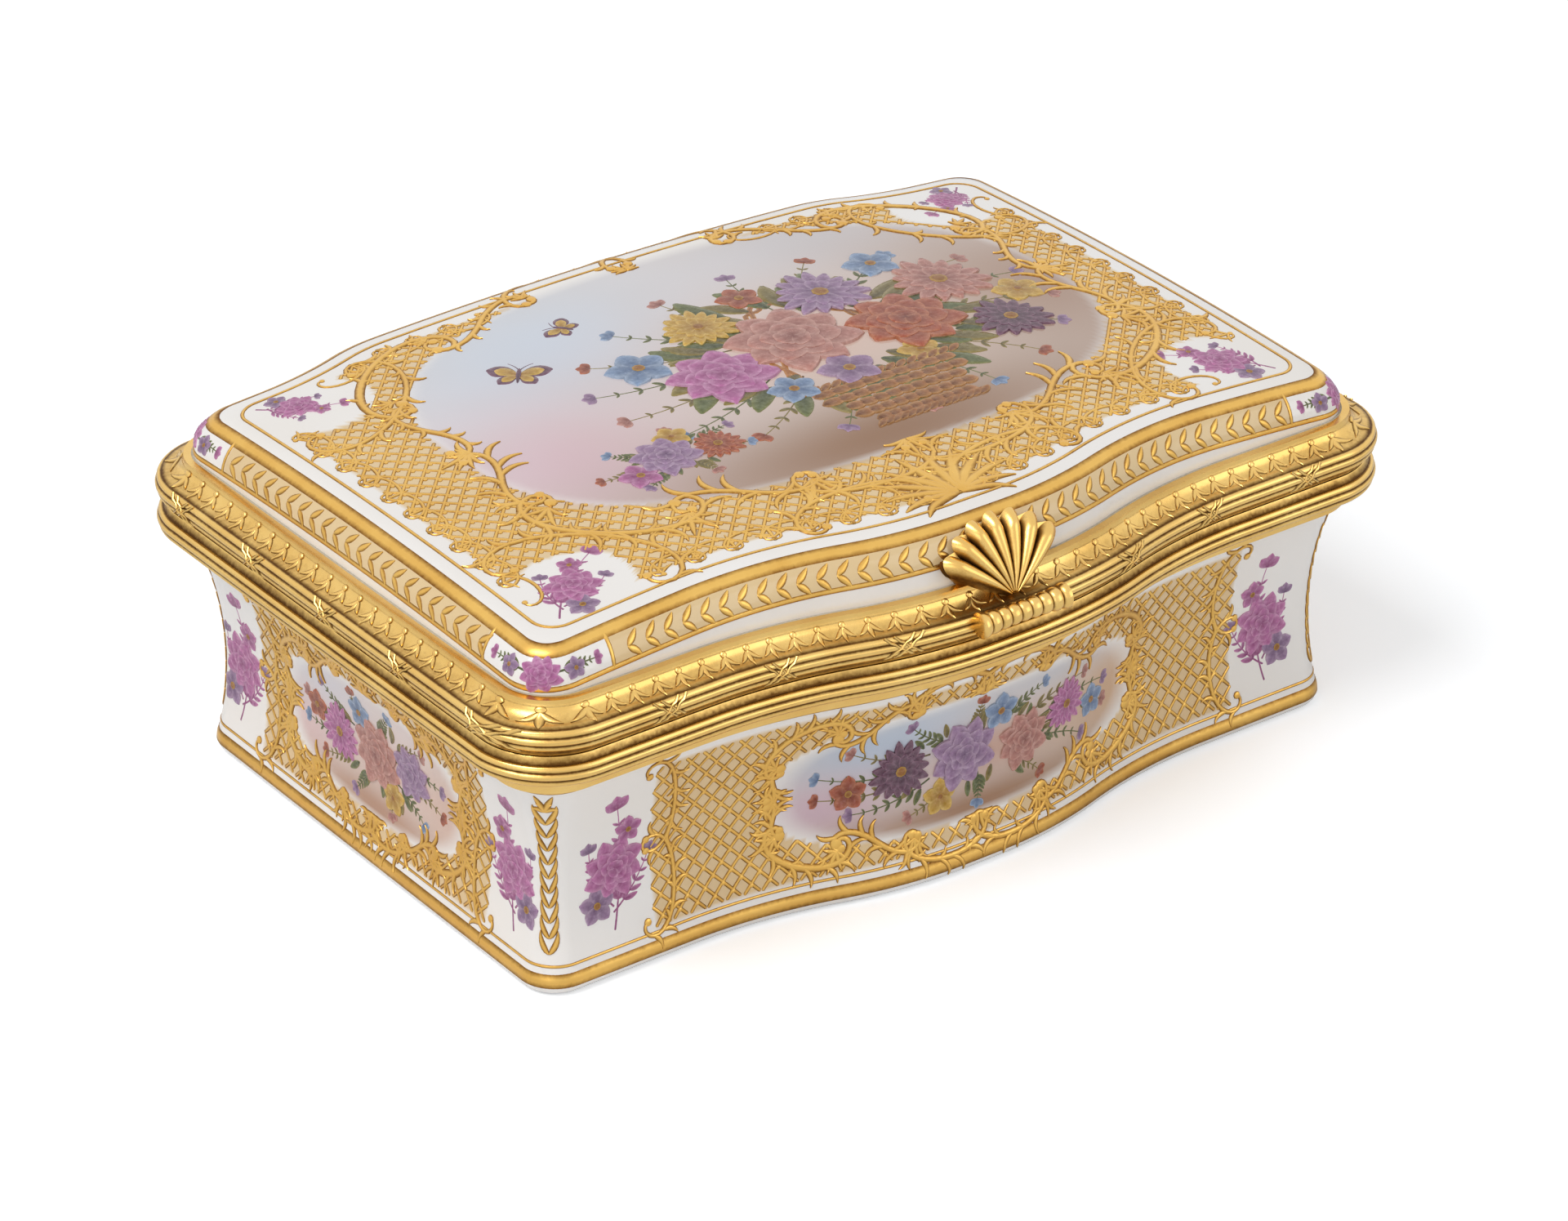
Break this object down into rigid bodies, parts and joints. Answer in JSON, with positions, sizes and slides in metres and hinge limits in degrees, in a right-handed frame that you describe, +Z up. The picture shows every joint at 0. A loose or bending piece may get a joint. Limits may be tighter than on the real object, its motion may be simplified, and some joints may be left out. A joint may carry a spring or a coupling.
{
  "type": "snuff box",
  "caption": "Rectangular porcelain snuff box with a domed hinged lid, hollow-curved walls with a bowed front, and a gilt metal mount with a shell thumbpiece.",
  "frame": {"origin": "centre of the flat underside, at the middle of the length and of the straight width", "axes": "+X along the long sides, -Y to the front where the thumbpiece is, +Y to the hinge, +Z up"},
  "size_m": [0.084, 0.0635, 0.0316],
  "materials": {
    "porcelain": "glossy white glaze with enamel colours and gilding",
    "gilt_metal": "gilt, burnished and a little worn",
    "bedding": "matt plaster",
    "pin_steel": "drawn wire"
  },
  "bodies": {
    "base": {"body_shell": "porcelain", "base_bedding": "bedding", "base_mount": "gilt_metal", "base_throat": "gilt_metal", "base_hinge_bearer": "gilt_metal", "base_knuckle_1": "gilt_metal", "base_knuckle_2": "gilt_metal", "base_knuckle_3": "gilt_metal", "base_knuckle_4": "gilt_metal", "hinge_pin": "pin_steel", "pin_plug_left": "gilt_metal", "pin_plug_right": "gilt_metal"},
    "lid": {"lid_panel": "porcelain", "lid_bedding": "bedding", "lid_mount": "gilt_metal", "lid_hinge_bearer": "gilt_metal", "lid_knuckle_1": "gilt_metal", "lid_knuckle_2": "gilt_metal", "lid_knuckle_3": "gilt_metal", "thumbpiece": "gilt_metal"}
  },
  "joints": [
    {"name": "lid_hinge", "type": "hinge", "parent": "base", "child": "lid", "pos_m": [0, 0.0293, 0.0225], "axis": [-1, 0, 0], "range_deg": [0, 100]}
  ]
}
